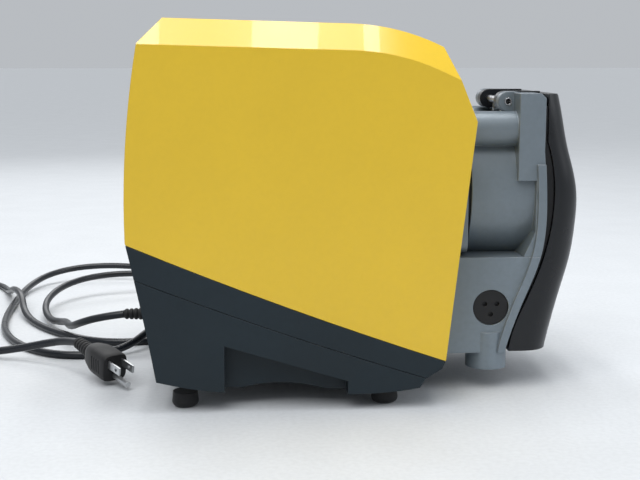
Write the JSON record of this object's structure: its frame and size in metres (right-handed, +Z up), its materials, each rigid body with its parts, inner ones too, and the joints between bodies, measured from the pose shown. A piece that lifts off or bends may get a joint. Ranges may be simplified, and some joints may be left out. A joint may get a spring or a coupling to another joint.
{
  "type": "peristaltic pump",
  "caption": "Cased bench-top peristaltic tubing pump with a hinged head guard, sprung roller rotor, sloped keypad, rubber feet and a mains lead.",
  "frame": {"origin": "under the middle of the pump without its mains lead, on the surface it stands on", "axes": "+X from the rear panel to the pump head, +Y to the far side, +Z up"},
  "size_m": [0.645, 0.5475, 0.299],
  "materials": {
    "yellow_shell": "semi-gloss yellow paint",
    "charcoal": "fine-textured charcoal moulding",
    "head_grey": "satin grey painted casting",
    "guard_black": "fine-textured black moulding",
    "black_plastic": "matte black",
    "rubber": "matte black rubber",
    "steel": "brushed steel",
    "aluminium": "machined aluminium",
    "cord": "smooth black cord jacket",
    "roller_white": "filled nylon",
    "circuit_green": "lacquered board",
    "window_glass": "clear display window",
    "panel_grey": "membrane panel",
    "key_grey": "soft grey keys",
    "key_green": "green key",
    "key_red": "red key",
    "zinc": "zinc-plated steel"
  },
  "bodies": {
    "root": {"upper_shell": "yellow_shell", "base_shell": "charcoal", "base_tray": "charcoal", "rubber_feet": "rubber", "rear_bay": "panel_grey", "rear_panel": "panel_grey", "rocker_frame": "black_plastic", "fuse_holder": "black_plastic", "data_connectors": "zinc", "cable_gland": "black_plastic", "strain_relief": "rubber", "mains_cord": "cord", "plug_body": "rubber", "plug_pins": "zinc", "head_body": "head_grey", "port_block": "head_grey", "mounting_plate": "head_grey", "head_gasket": "rubber", "head_screws": "zinc", "guard_seal": "rubber", "hinge_pin": "steel", "head_bearing": "steel", "gearbox_casing": "zinc", "motor_casing": "black_plastic", "chassis": "zinc", "power_board": "circuit_green", "transformer": "zinc", "keypad_panel": "panel_grey", "display_window": "window_glass", "display_module": "circuit_green", "control_board": "circuit_green"},
    "guard": {"guard": "guard_black", "hinge_arms": "guard_black", "latch_pin": "guard_black"},
    "guard_latch": {"guard_latch": "guard_black"},
    "rotor": {"drive_shaft": "steel", "rotor_frame": "aluminium", "rotor_bolt": "steel", "arm_pivot_pins": "steel", "arm_springs": "steel", "guide_axles": "steel"},
    "arm_a": {"roller_arm_a": "steel", "roller_axle_a": "steel"},
    "arm_b": {"roller_arm_b": "steel", "roller_axle_b": "steel"},
    "roller_a": {"main_roller_a": "roller_white"},
    "roller_b": {"main_roller_b": "roller_white"},
    "guide_a": {"guide_roller_a": "roller_white"},
    "guide_b": {"guide_roller_b": "roller_white"},
    "armature": {"armature": "steel"},
    "clamp_near": {"tube_clamp_near": "black_plastic"},
    "clamp_far": {"tube_clamp_far": "black_plastic"},
    "rocker": {"rocker_switch": "black_plastic"},
    "key_start": {"key_start": "key_green"},
    "key_stop": {"key_stop": "key_red"},
    "key_up": {"key_up": "key_grey"},
    "key_mode": {"key_mode": "key_grey"},
    "key_reverse": {"key_reverse": "key_grey"},
    "key_down": {"key_down": "key_grey"}
  },
  "joints": [
    {"name": "guard_hinge", "type": "hinge", "parent": "root", "child": "guard", "pos_m": [0.123, 0, 0.2345], "axis": [0, -1, 0], "range_deg": [0, 100]},
    {"name": "latch_pivot", "type": "hinge", "parent": "guard", "child": "guard_latch", "pos_m": [0.144, 0, 0.0296], "axis": [0, -1, 0], "range_deg": [0, 30], "stiffness_Nm_per_rad": 0.03, "springref_deg": -20.05},
    {"name": "rotor_spin", "type": "hinge", "parent": "root", "child": "rotor", "pos_m": [0.108, 0, 0.162], "axis": [1, 0, 0], "continuous": true},
    {"name": "motor_spin", "type": "hinge", "parent": "root", "child": "armature", "pos_m": [-0.04, 0, 0.162], "axis": [1, 0, 0], "continuous": true},
    {"name": "arm_a_pivot", "type": "hinge", "parent": "rotor", "child": "arm_a", "pos_m": [0.108, -0.01838, 0.17743], "axis": [-1, 0, 0], "range_deg": [0, 6], "stiffness_Nm_per_rad": 5, "springref_deg": -5.73},
    {"name": "roller_a_spin", "type": "hinge", "parent": "arm_a", "child": "roller_a", "pos_m": [0.108, 0, 0.202], "axis": [1, 0, 0], "continuous": true},
    {"name": "arm_b_pivot", "type": "hinge", "parent": "rotor", "child": "arm_b", "pos_m": [0.108, 0.01838, 0.14657], "axis": [-1, 0, 0], "range_deg": [0, 6], "stiffness_Nm_per_rad": 5, "springref_deg": -5.73},
    {"name": "roller_b_spin", "type": "hinge", "parent": "arm_b", "child": "roller_b", "pos_m": [0.108, 0, 0.122], "axis": [1, 0, 0], "continuous": true},
    {"name": "guide_a_spin", "type": "hinge", "parent": "rotor", "child": "guide_a", "pos_m": [0.108, 0.032, 0.162], "axis": [1, 0, 0], "continuous": true},
    {"name": "guide_b_spin", "type": "hinge", "parent": "rotor", "child": "guide_b", "pos_m": [0.108, -0.032, 0.162], "axis": [1, 0, 0], "continuous": true},
    {"name": "clamp_near_turn", "type": "hinge", "parent": "root", "child": "clamp_near", "pos_m": [0.108, -0.055, 0.0687], "axis": [0, -1, 0], "range_deg": [0, 60]},
    {"name": "clamp_far_turn", "type": "hinge", "parent": "root", "child": "clamp_far", "pos_m": [0.108, 0.055, 0.0687], "axis": [0, 1, 0], "range_deg": [0, 60]},
    {"name": "rocker_tilt", "type": "hinge", "parent": "root", "child": "rocker", "pos_m": [-0.159, -0.044, 0.178], "axis": [0, 1, 0], "range_deg": [0, 12]},
    {"name": "key_start_press", "type": "slide", "parent": "root", "child": "key_start", "axis": [-0.9238, 0, -0.3828], "range_m": [0, 0.0008], "stiffness_N_per_m": 600, "springref_m": -0.0006},
    {"name": "key_stop_press", "type": "slide", "parent": "root", "child": "key_stop", "axis": [-0.9238, 0, -0.3828], "range_m": [0, 0.0008], "stiffness_N_per_m": 600, "springref_m": -0.0006},
    {"name": "key_up_press", "type": "slide", "parent": "root", "child": "key_up", "axis": [-0.9238, 0, -0.3828], "range_m": [0, 0.0008], "stiffness_N_per_m": 600, "springref_m": -0.0006},
    {"name": "key_mode_press", "type": "slide", "parent": "root", "child": "key_mode", "axis": [-0.9238, 0, -0.3828], "range_m": [0, 0.0008], "stiffness_N_per_m": 600, "springref_m": -0.0006},
    {"name": "key_reverse_press", "type": "slide", "parent": "root", "child": "key_reverse", "axis": [-0.9238, 0, -0.3828], "range_m": [0, 0.0008], "stiffness_N_per_m": 600, "springref_m": -0.0006},
    {"name": "key_down_press", "type": "slide", "parent": "root", "child": "key_down", "axis": [-0.9238, 0, -0.3828], "range_m": [0, 0.0008], "stiffness_N_per_m": 600, "springref_m": -0.0006}
  ],
  "couplings": [
    {"joint": "motor_spin", "follows": "rotor_spin", "ratio": 20}
  ]
}
